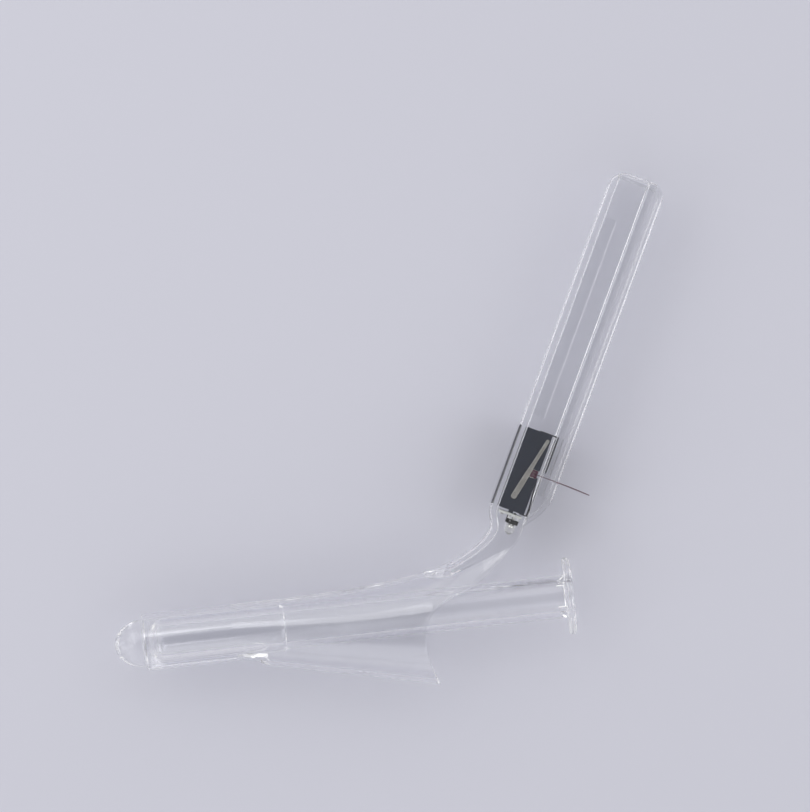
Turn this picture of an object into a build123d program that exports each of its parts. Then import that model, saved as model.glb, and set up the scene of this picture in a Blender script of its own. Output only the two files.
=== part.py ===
from build123d import *
import math
import os

# A slotted single-use anoscope of clear plastic, lying on its side. The tube runs along X with its
# open funnel towards +X, the handle leaves the funnel towards +Y, and +Z is up from the table.
# All lengths are in millimetres. The solids are drawn about the tube's axis, with X = 0 at the
# middle of the funnel's mouth, and are moved to the row's origin when they are written.

# Tube and viewing funnel
TUBE_RADIUS = 9.0
WALL = 1.5
TUBE_LENGTH = 90.0
FUNNEL_LENGTH = 62.0
MOUTH_DROP = 13.8
MOUTH_RISE = 3.5
MOUTH_SPREAD = 5.0
TUBE_EDGE_FILLET = 0.6

# Slot in the tube, on the side away from the handle
SLOT_WIDTH = 9.0
SLOT_END = -52.0

# Handle: measured along the handle from the tube's axis, and across it from its front face
HANDLE_LEAN = 26.6
HANDLE_FRONT = 5.1
HANDLE_END = 147.7
HANDLE_DEPTH = 17.5
HANDLE_WIDTH = 16.0
HANDLE_CORNER = 5.0
HANDLE_EDGE = 1.0
CHANNEL_EDGE = 0.5
SEAM_EDGE = 0.25
FRONT_WALL = 2.3
PARTING_LINE = 12.1
LIP_HEIGHT = 2.2
LIP_THICKNESS = 0.7
LIP_CLEARANCE = 0.05
LIP_EDGE = 0.2
LIP_OVERLAP = 2.0
ROOT_GAP = 0.2
BLEND_LENGTH = 27.0
BLEND_RISE = 11.5
RIM_GAP = 0.6
RIM_TOP_STEP = (4.3, 5.8)

# Stiffening rib inside the handle above the light
RIB_GAP = 4.3
RIB_LENGTH = 65.0
RIB_DEPTH = 6.8
RIB_THICKNESS = 1.5
RIB_EDGE = 0.5

# Rear cover
COVER_WALL = 1.4
COVER_SKIRT = 3.1
COVER_RAMP = 12.4
COVER_INNER_EDGE = 0.3
COVER_RAMP_DRAW = (1.4, 0.3)

# Obturator
PLUG_CLEARANCE = 0.08
NOSE_LENGTH = 9.2
PLUG_END = -47.0
PLUG_STEP = 1.0
SHAFT_RADIUS = 6.65
SHAFT_BORE = 4.65
BORE_BLIND_END = -84.0
DISC_START = 41.2
DISC_THICKNESS = 2.5
DISC_RADIUS = 12.0
DISC_EDGE = 1.0
KEY_CLEARANCE = 0.2
KEY_RADIUS = 8.6
KEY_CHAMFER = 1.0
GUSSET_THICKNESS = 1.2
GUSSET_SIZE = 2.2
GUSSET_ROOT = 1.0

# Button cells and the film between them
CELL_RADIUS = 3.95
CELL_HEIGHT = 5.4
CELL_CAP_RADIUS = 3.1
CELL_CAP_HEIGHT = 0.35
CELL_EDGE = 0.3
CELL_GAP = 0.1
TAB_HEIGHT = 50.7
TAB_THICKNESS = 0.25
TAB_WIDTH = 6.0
TAB_INNER_END = 4.6
TAB_OUTER_END = 28.0
TAB_CORNER = 1.2
TAB_SLOT_CLEARANCE = 0.4

# Battery tray
CONTACT_ROOM = 1.175
TRAY_FLOOR = 0.65
TRAY_END_WALL = 0.8
TRAY_SIDE_WALL = 1.3
CELL_FIT = 0.15
NOTCH_HEIGHT = 2.6
NOTCH_DEPTH = 3.4
FOOT_SIZE = 1.2

# Contacts
STRIP = 0.3
DOME_RADIUS = 1.6
BAR_THICKNESS = 0.9
BAR_WIDTH = 5.0
BAR_GAP = 1.3
BAR_SHIFT = 0.5
SPRING_SHARE = 0.8
LEAF_WIDTH = 4.4
LEAF_TOP_GAP = 0.7
LEAF_TAIL = 2.5
LEAF_HOOK = 1.2
LEAF_CELL_GAP = 0.05
RIVET_RADIUS = 0.7
STRAP_WIDTH = 1.3
STRAP_TOP_OFFSET = 9.9
STRAP_FOOT_OFFSET = 5.6
STRAP_TOP_GAP = 1.5
STRAP_FOOT_GAP = 3.3

# Light
BOARD_THICKNESS = 0.8
BOARD_GAP = 0.8
BOARD_WIDTH = 9.6
BOARD_DEPTH = 7.4
LED_OFFSET = 8.45
LED_RADIUS = 1.5
LED_FLANGE_RADIUS = 1.9
LED_FLANGE_HEIGHT = 1.0
LED_BODY_LENGTH = 4.7
LEAD_SIZE = 0.5
LEAD_SPACING = 1.27
LEAD_TAIL = 0.4
HOOD_LENGTH = 1.4
HOOD_CLEARANCE = 0.05
RESISTOR_SIZE = (1.25, 0.5, 2.0)

BIG = 400.0

lean = math.radians(HANDLE_LEAN)
along = Vector(math.sin(lean), math.cos(lean), 0)
rearward = Vector(math.cos(lean), -math.sin(lean), 0)
handle_frame = Plane(origin=rearward * HANDLE_FRONT, x_dir=rearward, z_dir=(0, 0, 1)).location

half_width = HANDLE_WIDTH / 2
channel_half = half_width - WALL
funnel_start = -FUNNEL_LENGTH
mouth_half_width = TUBE_RADIUS + MOUTH_SPREAD
cell_axis = FRONT_WALL + TRAY_FLOOR + CELL_RADIUS
tray_rear = cell_axis + CELL_RADIUS
tray_half = CELL_RADIUS + CELL_FIT + TRAY_SIDE_WALL
lower_stack_top = TAB_HEIGHT - TAB_THICKNESS / 2 - CELL_GAP
upper_stack_start = TAB_HEIGHT + TAB_THICKNESS / 2 + CELL_GAP
stack_bottom = lower_stack_top - 2 * CELL_HEIGHT
stack_top = upper_stack_start + 2 * CELL_HEIGHT
tray_start = stack_bottom - CONTACT_ROOM - TRAY_END_WALL
tray_end = stack_top + CONTACT_ROOM + TRAY_END_WALL
leaf_foot = tray_start + LEAF_TAIL
rib_start = tray_end + RIB_GAP
root_top = tray_start - ROOT_GAP
cover_start = tray_start - COVER_SKIRT
cover_ramp_end = cover_start + COVER_RAMP
board_top = tray_start - BOARD_GAP
board_bottom = board_top - BOARD_THICKNESS


def handle_point(offset, height):
    """Place of a handle point in the tube's own X and Y."""
    point = rearward * (HANDLE_FRONT + offset) + along * height
    return (point.X, point.Y)


def block(low, high):
    """Box between two opposite corners."""
    size = [b - a for a, b in zip(low, high)]
    return Pos(*low) * Box(*size, align=(Align.MIN, Align.MIN, Align.MIN))


def side_solid(face, half):
    """Flat outline in X and Y, drawn out equally to both sides of the object's middle plane."""
    return extrude(face, amount=half, both=True)


def rod(start, end, radius):
    """Round bar along X between two places on the tube's axis."""
    return Pos(start, 0, 0) * Rot(0, 90, 0) * Cylinder(
        radius, end - start, align=(Align.CENTER, Align.CENTER, Align.MIN)
    )


def pin(offset, height, radius, length, z=0):
    """Round bar that runs up the handle from one height."""
    return Pos(offset, height, z) * Rot(-90, 0, 0) * Cylinder(
        radius, length, align=(Align.CENTER, Align.CENTER, Align.MIN)
    )


def oval(x, top, bottom, half):
    """Ellipse across the tube at one place along it."""
    plane = Plane(origin=(x, (top + bottom) / 2, 0), x_dir=(0, 1, 0), z_dir=(1, 0, 0))
    return plane * Ellipse((top - bottom) / 2, half)


def funnel_form(inset):
    """Oval cone from the tube to the mouth, drawn in by a wall."""
    sections = []
    for share in (0.0, 0.25, 0.5, 0.75, 1.0):
        top = TUBE_RADIUS + MOUTH_RISE * share ** 3
        bottom = TUBE_RADIUS + MOUTH_DROP * share
        half = TUBE_RADIUS + MOUTH_SPREAD * share
        sections.append(oval(funnel_start * (1 - share), top - inset, inset - bottom, half - inset))
    return loft(sections)


def blend_form(inset):
    """Horn that narrows from the mouth to the handle's width, drawn in by a wall."""
    mouth_top = TUBE_RADIUS + MOUTH_RISE
    mouth_bottom = TUBE_RADIUS + MOUTH_DROP
    sections = []
    for share in (0.0, 0.35, 0.7, 1.0):
        top = mouth_top + BLEND_RISE * share ** 1.3
        bottom = mouth_bottom * (1 - share ** 1.6) - half_width * share
        half = mouth_half_width + (half_width - mouth_half_width) * share
        sections.append(oval(BLEND_LENGTH * share, top - inset, inset - bottom, half - inset))
    return loft(sections)


def front_profile(shift):
    """Handle front from its root up to the straight part, moved rearward by a wall."""
    root = [(-12.0, 0.28), (-6.8, 0.39), (-3.3, 0.505), (1.2, 0.695), (2.3, 0.825), (0.0, 1.0)]
    return [(offset + shift, share * root_top) for offset, share in root]


def handle_slab():
    """Outer form of the handle's front shell, with rounded front edges and a round start on the funnel."""
    points = front_profile(0)
    corner_start = (0, HANDLE_END - HANDLE_CORNER)
    corner_end = (HANDLE_CORNER, HANDLE_END)
    outline = [
        Spline(*points, tangents=[(1.0, 0.6), (0, 1)]),
        Line(points[-1], corner_start),
        TangentArc(corner_start, corner_end, tangent=(0, 1)),
        Polyline(corner_end, (PARTING_LINE, HANDLE_END), (PARTING_LINE, 0), (points[0][0], 0), points[0]),
    ]
    slab = side_solid(make_face(outline), half_width)
    long_edges = [
        edge
        for edge in slab.edges()
        if abs(abs(edge.center().Z) - half_width) < 0.01
        and edge.center().Y > points[0][1]
        and edge.center().X < PARTING_LINE - 0.01
    ]
    slab = fillet(long_edges, HANDLE_EDGE)
    start = points[0][0]
    round_start = Pos(start + BIG / 2, 0, 0) * Rot(90, 0, 0) * extrude(
        SlotOverall(BIG, HANDLE_WIDTH), amount=BIG, both=True
    )
    return fillet(seam_edges(slab, 1), SEAM_EDGE) & round_start


def seam_edges(shell, low):
    """Edges of a handle shell that lie in the parting plane, above a height."""
    return [
        edge
        for edge in shell.edges()
        if abs(edge.center().X - PARTING_LINE) < 0.01 and edge.center().Y > low
    ]


def handle_channel():
    """Hollow of the handle, open to the rear and down into the funnel."""
    points = front_profile(FRONT_WALL)[1:]
    end = HANDLE_END - WALL
    rear = HANDLE_DEPTH + 1
    outline = [
        Spline(*points, tangents=[(1.0, 1.0), (0, 1)]),
        Polyline(points[-1], (FRONT_WALL, end), (rear, end), (rear, 0), (0, 0), points[0]),
    ]
    channel = side_solid(make_face(outline), channel_half)
    front_edges = [
        edge
        for edge in channel.edges()
        if abs(edge.center().X - FRONT_WALL) < 0.01 and abs(abs(edge.center().Z) - channel_half) < 0.01
    ]
    return fillet(front_edges, CHANNEL_EDGE)


def kept_side_view():
    """Everything in front of the mouth's edge and of the handle's parting line."""
    mouth_bottom = -(TUBE_RADIUS + MOUTH_DROP)
    top = handle_point(PARTING_LINE, cover_start - RIM_GAP)
    rim = [
        (0.6, mouth_bottom - 2),
        (-3.2, -11.0),
        (-1.2, -1.6),
        (4.6, 3.4),
        (12.3, 6.2),
        (20.6, 11.8),
        (top[0] - RIM_TOP_STEP[0], top[1] - RIM_TOP_STEP[1]),
        top,
    ]
    far = handle_point(PARTING_LINE, HANDLE_END + 20)
    outline = [
        Spline(*rim, tangents=[(-0.3, 1.0), (along.X, along.Y)]),
        Polyline(rim[-1], far, (-BIG, far[1]), (-BIG, rim[0][1]), rim[0]),
    ]
    return side_solid(make_face(outline), BIG)


def make_body():
    outer = funnel_form(0) + blend_form(0) + handle_frame * handle_slab()
    inner = funnel_form(WALL) + blend_form(WALL) + handle_frame * handle_channel()
    tube = rod(-TUBE_LENGTH, funnel_start, TUBE_RADIUS)
    rim = [edge for edge in tube.edges() if edge.center().X < 1 - TUBE_LENGTH]
    tube = fillet(rim, TUBE_EDGE_FILLET)
    bore = rod(-TUBE_LENGTH - 1, funnel_start, TUBE_RADIUS - WALL)
    shell = ((outer - inner) & kept_side_view()) + (tube - bore)
    slot_round = SLOT_END - SLOT_WIDTH / 2
    slot = block((-BIG, -BIG, -SLOT_WIDTH / 2), (slot_round, 0, SLOT_WIDTH / 2))
    slot += Pos(slot_round, 0, 0) * Rot(90, 0, 0) * Cylinder(
        SLOT_WIDTH / 2, BIG, align=(Align.CENTER, Align.CENTER, Align.MIN)
    )
    return shell - slot + handle_frame * (lip() + rib())


def lip():
    """Thin raised edge of the front shell that the cover snaps over."""
    outside = channel_half + LIP_THICKNESS
    end = HANDLE_END - WALL
    low = cover_ramp_end - LIP_OVERLAP
    top = PARTING_LINE + LIP_HEIGHT
    ring = block((PARTING_LINE - 1, low, -outside), (top, end + LIP_THICKNESS, outside))
    ring -= block((0, 0, -channel_half), (BIG, end, channel_half))
    return fillet([edge for edge in ring.edges() if edge.center().X > top - 0.01], LIP_EDGE)


def rib():
    """Middle rib on the inside of the front wall."""
    half = RIB_THICKNESS / 2
    web = block((FRONT_WALL - 0.2, rib_start, -half), (RIB_DEPTH, rib_start + RIB_LENGTH, half))
    return fillet([edge for edge in web.edges() if edge.center().X > RIB_DEPTH - 0.01], RIB_EDGE)


def cover_form(inset):
    """Rounded rear shell form, drawn in by a wall."""
    depth = HANDLE_DEPTH - inset
    end = HANDLE_END - inset
    corner = HANDLE_CORNER - inset
    low = (PARTING_LINE, cover_start + inset * COVER_RAMP_DRAW[0])
    ramp = (depth, cover_ramp_end + inset * COVER_RAMP_DRAW[1])
    outline = [
        Spline(low, ramp, tangents=[(0.75, 1.0), (0, 1)]),
        Line(ramp, (depth, end - corner)),
        TangentArc((depth, end - corner), (depth - corner, end), tangent=(0, 1)),
        Polyline((depth - corner, end), (PARTING_LINE, end), low),
    ]
    side = side_solid(make_face(outline), half_width)
    width = HANDLE_WIDTH - 2 * inset
    edge = max(HANDLE_EDGE - inset, COVER_INNER_EDGE)
    across = Pos(depth - BIG / 2, 0, 0) * Rot(90, 0, 0) * extrude(
        RectangleRounded(BIG, width, edge), amount=BIG, both=True
    )
    plan = Pos(0, end - BIG / 2, 0) * Rot(0, 90, 0) * extrude(
        RectangleRounded(width, BIG, edge), amount=BIG, both=True
    )
    return side & across & plan


def make_cover():
    outer = cover_form(0)
    shell = fillet(seam_edges(outer, cover_start + 1), SEAM_EDGE) - cover_form(COVER_WALL)
    outside = channel_half + LIP_THICKNESS + LIP_CLEARANCE
    top = PARTING_LINE + LIP_HEIGHT + LIP_CLEARANCE
    end = HANDLE_END - WALL + LIP_THICKNESS + LIP_CLEARANCE
    low = cover_ramp_end - LIP_OVERLAP - LIP_CLEARANCE
    lip_room = block((0, low, -outside), (top, end, outside))
    half_slot = TAB_WIDTH / 2 + TAB_SLOT_CLEARANCE
    reach = TAB_THICKNESS / 2 + TAB_SLOT_CLEARANCE
    slot = block((PARTING_LINE, TAB_HEIGHT - reach, -half_slot), (BIG, TAB_HEIGHT + reach, half_slot))
    return handle_frame * (shell - lip_room - slot)


def make_obturator():
    radius = TUBE_RADIUS - WALL - PLUG_CLEARANCE
    tip = -TUBE_LENGTH - NOSE_LENGTH
    disc_end = DISC_START + DISC_THICKNESS
    profile = [
        EllipticalCenterArc((-TUBE_LENGTH, 0), NOSE_LENGTH, radius, start_angle=90, arc_size=90),
        Polyline(
            (-TUBE_LENGTH, radius),
            (PLUG_END, radius),
            (PLUG_END + PLUG_STEP, SHAFT_RADIUS),
            (disc_end, SHAFT_RADIUS),
            (disc_end, 0),
            (tip, 0),
        ),
    ]
    plug = revolve(make_face(profile), Axis.X)
    disc = rod(DISC_START, disc_end, DISC_RADIUS)
    disc = fillet(disc.edges().filter_by(GeomType.CIRCLE), DISC_EDGE)
    half = GUSSET_THICKNESS / 2
    root = (DISC_START, SHAFT_RADIUS - GUSSET_ROOT)
    rim = (DISC_START, SHAFT_RADIUS + GUSSET_SIZE)
    web = Polyline(root, rim, (DISC_START - GUSSET_SIZE - GUSSET_ROOT, root[1]), root)
    gusset = side_solid(make_face(web), half)
    plug += disc
    for turn in (45, 135, 225, 315):
        plug += Rot(turn, 0, 0) * gusset
    key_half = SLOT_WIDTH / 2 - KEY_CLEARANCE
    key_round = SLOT_END - SLOT_WIDTH / 2
    key = block((-TUBE_LENGTH, -BIG, -key_half), (key_round, -SHAFT_BORE - 1, key_half))
    key += Pos(key_round, -SHAFT_BORE - 1, 0) * Rot(90, 0, 0) * Cylinder(
        key_half, BIG, align=(Align.CENTER, Align.CENTER, Align.MIN)
    )
    key_bar = rod(-TUBE_LENGTH, SLOT_END, KEY_RADIUS)
    key_nose = [edge for edge in key_bar.edges() if edge.center().X < 1 - TUBE_LENGTH]
    plug += key & chamfer(key_nose, KEY_CHAMFER)
    hollow = rod(BORE_BLIND_END, disc_end + 1, SHAFT_BORE) + Pos(BORE_BLIND_END, 0, 0) * Sphere(SHAFT_BORE)
    return plug - hollow


def make_tab():
    length = TAB_OUTER_END - TAB_INNER_END
    film = block(
        (TAB_INNER_END, TAB_HEIGHT - TAB_THICKNESS / 2, -TAB_WIDTH / 2),
        (TAB_INNER_END + length, TAB_HEIGHT + TAB_THICKNESS / 2, TAB_WIDTH / 2),
    )
    corners = [edge for edge in film.edges().filter_by(Axis.Y) if edge.center().X > TAB_OUTER_END - 1]
    return handle_frame * fillet(corners, TAB_CORNER)


def make_cradle():
    tray = block((FRONT_WALL, tray_start, -tray_half), (tray_rear, tray_end, tray_half))
    room_radius = CELL_RADIUS + CELL_FIT
    low = tray_start + TRAY_END_WALL
    high = tray_end - TRAY_END_WALL
    room = pin(cell_axis, low, CELL_RADIUS, high - low)
    room += block((cell_axis, low, -room_radius), (tray_rear + 1, high, room_radius))
    notch_half = NOTCH_HEIGHT / 2
    notch = block(
        (tray_rear - NOTCH_DEPTH, TAB_HEIGHT - notch_half, -BIG),
        (tray_rear + 1, TAB_HEIGHT + notch_half, BIG),
    )
    tray = tray - room - notch
    for side in (-1, 1):
        foot_z = side * (BOARD_WIDTH / 2 - FOOT_SIZE / 2)
        tray += block(
            (cell_axis - FOOT_SIZE / 2, board_top, foot_z - FOOT_SIZE / 2),
            (cell_axis + FOOT_SIZE / 2, low, foot_z + FOOT_SIZE / 2),
        )
    return handle_frame * tray


def make_cell(bottom):
    """Button cell: a can with rolled edges and a smaller raised cap on its lower side."""
    can = CELL_HEIGHT - CELL_CAP_HEIGHT
    cell = pin(cell_axis, bottom + CELL_CAP_HEIGHT, CELL_RADIUS, can)
    cell = fillet(cell.edges().filter_by(GeomType.CIRCLE), CELL_EDGE)
    return handle_frame * (cell + pin(cell_axis, bottom, CELL_CAP_RADIUS, CELL_CAP_HEIGHT + CELL_EDGE))


def make_end_contact():
    low = tray_start + TRAY_END_WALL
    plate = block(
        (cell_axis - CELL_CAP_RADIUS, low, -CELL_CAP_RADIUS),
        (cell_axis + CELL_CAP_RADIUS, low + STRIP, CELL_CAP_RADIUS),
    ) & pin(cell_axis, low, CELL_RADIUS, STRIP)
    return handle_frame * (plate + pin(cell_axis, low, DOME_RADIUS, stack_bottom - low))


def make_spring_contact():
    high = tray_end - TRAY_END_WALL
    reach = CELL_CAP_RADIUS * SPRING_SHARE
    left = cell_axis - reach
    right = cell_axis + reach
    fold = Polyline(
        (left, high),
        (right, high),
        (right, high - STRIP),
        (left + 2 * STRIP, high - STRIP),
        (right, stack_top + STRIP),
        (right, stack_top),
        (left, high - STRIP),
        (left, high),
    )
    return handle_frame * side_solid(make_face(fold), DOME_RADIUS)


def make_contact_bar():
    """Fixed strip behind the upper cells, with a hook over the tray's end wall."""
    front = PARTING_LINE - BAR_THICKNESS / 2 + BAR_SHIFT
    half = BAR_WIDTH / 2
    bar = block((front, TAB_HEIGHT + BAR_GAP, -half), (front + BAR_THICKNESS, tray_end + STRIP, half))
    hook = block((cell_axis, tray_end, -half), (front + BAR_THICKNESS, tray_end + STRIP, half))
    return handle_frame * (bar + hook)


def leaf_line(distance):
    """Offset of the leaf's front face at a height, from its foot to the film."""
    share = (distance - leaf_foot) / (lower_stack_top - LEAF_TOP_GAP - leaf_foot)
    foot = PARTING_LINE - STRIP
    return foot + (tray_rear + LEAF_CELL_GAP - foot) * share


def make_contact_leaf():
    """Bent strip behind the lower cells, with a tail that turns in over the tray's end wall."""
    top = lower_stack_top - LEAF_TOP_GAP
    foot = leaf_line(leaf_foot)
    low = tray_start - STRIP
    outline = Polyline(
        (leaf_line(top), top),
        (leaf_line(top) + STRIP, top),
        (foot + STRIP, leaf_foot),
        (foot + STRIP, low),
        (tray_rear - LEAF_HOOK, low),
        (tray_rear - LEAF_HOOK, tray_start),
        (foot, tray_start),
        (foot, leaf_foot),
        (leaf_line(top), top),
    )
    return handle_frame * side_solid(make_face(outline), LEAF_WIDTH / 2)


def make_leaf_rivet():
    middle = (leaf_foot + tray_start) / 2
    start = leaf_line(leaf_foot) + STRIP
    shank = Pos(start, middle, 0) * Rot(0, 90, 0) * Cylinder(
        RIVET_RADIUS, 2 * STRIP, align=(Align.CENTER, Align.CENTER, Align.MIN)
    )
    return handle_frame * fillet(shank.edges().group_by(Axis.X)[-1], STRIP)


def make_side_strap():
    """Thin strap that lies slanted on the upper side of the tray."""
    foot = (STRAP_FOOT_OFFSET, tray_start + STRAP_FOOT_GAP)
    top = (STRAP_TOP_OFFSET, tray_end - STRAP_TOP_GAP)
    dx = top[0] - foot[0]
    dy = top[1] - foot[1]
    length = math.hypot(dx, dy)
    middle = ((top[0] + foot[0]) / 2, (top[1] + foot[1]) / 2)
    turn = math.degrees(math.atan2(dy, dx))
    strap = extrude(RectangleRounded(length, STRAP_WIDTH, STRAP_WIDTH / 3), amount=STRIP)
    strap = Pos(middle[0], middle[1], tray_half) * Rot(0, 0, turn) * strap
    notch_half = NOTCH_HEIGHT / 2
    window = block(
        (tray_rear - NOTCH_DEPTH, TAB_HEIGHT - notch_half, 0), (tray_rear + 1, TAB_HEIGHT + notch_half, BIG)
    )
    return handle_frame * (strap - window).solids().sort_by(Axis.Y)[-1]


def make_board():
    rear = cell_axis - BOARD_DEPTH / 2
    board = block((rear, board_bottom, -BOARD_WIDTH / 2), (rear + BOARD_DEPTH, board_top, BOARD_WIDTH / 2))
    for side in (-1, 1):
        hole = LEAD_SIZE / 2
        z = side * LEAD_SPACING
        board -= block((LED_OFFSET - hole, 0, z - hole), (LED_OFFSET + hole, BIG, z + hole))
    return handle_frame * board


def make_lead(side):
    low = board_bottom
    z = side * LEAD_SPACING
    half = LEAD_SIZE / 2
    high = board_top + LEAD_TAIL
    return handle_frame * block((LED_OFFSET - half, low, z - half), (LED_OFFSET + half, high, z + half))


def make_led():
    """Clear epoxy body: a flange on the board, a round barrel and a domed end that points down."""
    low = board_bottom - LED_FLANGE_HEIGHT
    barrel_end = low - LED_BODY_LENGTH + LED_RADIUS
    led = pin(LED_OFFSET, low, LED_FLANGE_RADIUS, LED_FLANGE_HEIGHT)
    led += pin(LED_OFFSET, barrel_end, LED_RADIUS, low - barrel_end)
    return handle_frame * (led + Pos(LED_OFFSET, barrel_end, 0) * Sphere(LED_RADIUS))


def make_hood():
    high = board_bottom - LED_FLANGE_HEIGHT
    ring = pin(LED_OFFSET, high - HOOD_LENGTH, LED_FLANGE_RADIUS, HOOD_LENGTH)
    return handle_frame * (ring - pin(LED_OFFSET, high - BIG, LED_RADIUS + HOOD_CLEARANCE, 2 * BIG))


def make_resistor():
    width, height, length = RESISTOR_SIZE
    offset = cell_axis - BOARD_DEPTH / 2 + width
    return handle_frame * (Pos(offset, board_bottom - height / 2, 0) * Box(width, height, length))


cells = {}
for index in range(4):
    start = stack_bottom if index < 2 else upper_stack_start
    cells[f"cell_{index + 1}"] = make_cell(start + (index % 2) * CELL_HEIGHT)

pieces = {
    "speculum_body": make_body(),
    "handle_cover": make_cover(),
    "obturator": make_obturator(),
    "pull_tab": make_tab(),
    "battery_cradle": make_cradle(),
    **cells,
    "end_contact": make_end_contact(),
    "spring_contact": make_spring_contact(),
    "contact_bar": make_contact_bar(),
    "contact_leaf": make_contact_leaf(),
    "leaf_rivet": make_leaf_rivet(),
    "side_strap": make_side_strap(),
    "led_board": make_board(),
    "resistor": make_resistor(),
    "led_lens": make_led(),
    "led_anode_lead": make_lead(1),
    "led_cathode_lead": make_lead(-1),
    "light_hood": make_hood(),
}

# The row's origin is at the middle of the bottom of the whole object's box.
boxes = [piece.bounding_box() for piece in pieces.values()]
low_corner = [min(tuple(box.min)[axis] for box in boxes) for axis in range(3)]
high_corner = [max(tuple(box.max)[axis] for box in boxes) for axis in range(3)]
middle = [(low + high) / 2 for low, high in zip(low_corner, high_corner)]
to_origin = Pos(-middle[0], -middle[1], -low_corner[2])
print("tube axis at the mouth lies at", to_origin.position)
print("size", [high - low for low, high in zip(low_corner, high_corner)])

os.makedirs("parts", exist_ok=True)
for name, piece in pieces.items():
    export_step(to_origin * piece, f"parts/{name}.step")
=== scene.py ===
# %% [markdown]
# # A clear plastic anoscope with a light in its handle
# The real object is a single-use examination instrument, moulded in clear plastic. A flared viewing
# funnel narrows into a slotted tube, a hollow handle leans back from the funnel, and a bullet-nosed
# obturator fills the tube. A small battery light sits in the root of the handle. The solids come
# from the construction model at their true size, and this lesson gives them their looks.

import bmesh
import bpy
import math
import numpy as np
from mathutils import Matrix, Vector


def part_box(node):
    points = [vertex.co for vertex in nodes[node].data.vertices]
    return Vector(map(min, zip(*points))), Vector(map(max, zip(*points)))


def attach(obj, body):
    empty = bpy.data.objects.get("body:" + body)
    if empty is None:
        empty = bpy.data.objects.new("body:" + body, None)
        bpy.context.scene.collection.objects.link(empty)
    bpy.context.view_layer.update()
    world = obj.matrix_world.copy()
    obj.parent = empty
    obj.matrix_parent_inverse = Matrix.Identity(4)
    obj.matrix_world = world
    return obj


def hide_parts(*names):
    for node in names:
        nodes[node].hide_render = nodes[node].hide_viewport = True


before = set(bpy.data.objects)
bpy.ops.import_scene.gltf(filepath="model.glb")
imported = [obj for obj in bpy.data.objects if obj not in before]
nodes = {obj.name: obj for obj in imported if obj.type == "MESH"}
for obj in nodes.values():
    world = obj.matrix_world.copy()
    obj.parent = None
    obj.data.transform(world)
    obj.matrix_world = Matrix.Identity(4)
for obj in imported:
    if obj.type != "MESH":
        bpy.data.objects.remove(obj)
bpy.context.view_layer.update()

# %% [markdown]
# Every place in this scene is worked out from the frame. The construction model was drawn about
# the tube's axis, so the first job is to find that axis, the mouth and the handle again from the
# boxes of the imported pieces, and to build small helpers that turn handle heights into places.

# %% Find the tube and the handle
MM = 0.001
HANDLE_LEAN = math.radians(26.6)
HANDLE_FRONT = 5.1 * MM
DISC_END = 43.7 * MM

plug_low, plug_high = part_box("obturator")
axis_y = (plug_low.y + plug_high.y) / 2
axis_z = (plug_low.z + plug_high.z) / 2
mouth_x = plug_high.x - DISC_END
tube_origin = np.array([mouth_x, axis_y, axis_z])
handle_up = np.array([math.sin(HANDLE_LEAN), math.cos(HANDLE_LEAN), 0.0])
handle_back = np.array([math.cos(HANDLE_LEAN), -math.sin(HANDLE_LEAN), 0.0])
sideways = np.array([0.0, 0.0, 1.0])
print("tube axis meets the mouth at", tube_origin)


def in_handle(offset, height, across=0.0):
    """Places in metres of handle points in millimetres.

    A place is the tube's origin, plus the offset back from the handle's front face, plus the
    height along the handle, plus the way across it.
    """
    offset = np.asarray(offset, float) * MM + HANDLE_FRONT
    height = np.asarray(height, float) * MM
    across = np.asarray(across, float) * MM
    return (
        tube_origin
        + offset[..., None] * handle_back
        + height[..., None] * handle_up
        + across[..., None] * sideways
    )


# %% [markdown]
# The photograph looks straight down on the object, which lies on its side on a pale table. The
# camera is a long lens well above it. The tube rises a little to the right in the picture, so
# the camera is turned by that angle instead of the object, and the picture's middle is given as a
# real place between the tube and the handle.

# %% Camera
PICTURE_WIDTH = 251.1 * MM
PICTURE_TURN = math.radians(6.39)
PICTURE_CENTRE = (-1.5 * MM, 64.1 * MM)
CAMERA_HEIGHT = 1.2
SENSOR = 36.0

camera_data = bpy.data.cameras.new("view_from_above")
camera_data.sensor_fit = "HORIZONTAL"
camera_data.sensor_width = SENSOR
camera_data.lens = SENSOR * CAMERA_HEIGHT / PICTURE_WIDTH
camera = bpy.data.objects.new("view_from_above", camera_data)
camera.location = (
    mouth_x + PICTURE_CENTRE[0],
    axis_y + PICTURE_CENTRE[1],
    axis_z + CAMERA_HEIGHT,
)
camera.rotation_euler = (0.0, 0.0, -PICTURE_TURN)
bpy.context.scene.collection.objects.link(camera)
bpy.context.scene.camera = camera
print(f"camera: {camera_data.lens:.0f} mm lens, {CAMERA_HEIGHT} m above the tube's axis")

# %% [markdown]
# Every finish is a small tree of shader nodes. The trees are built from a few helpers, so that each
# finish can be read as a recipe: new_material empties a tree, add puts a node in it with its
# settings, join links two sockets, and the rest make noise, a range of numbers and a bump.


# %% Node helpers
def new_material(name):
    """Material with an empty node tree, and that tree."""
    material = bpy.data.materials.new(name)
    material.use_nodes = True
    tree = material.node_tree
    tree.nodes.clear()
    return material, tree


def add(tree, kind, inputs=None, **settings):
    """New node of a kind, with its settings, and with its input sockets filled by name."""
    node = tree.nodes.new(kind)
    for key, value in settings.items():
        setattr(node, key, value)
    for key, value in (inputs or {}).items():
        node.inputs[key].default_value = value
    return node


def join(tree, source, target):
    """Link from an output socket to an input socket."""
    tree.links.new(source, target)


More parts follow.
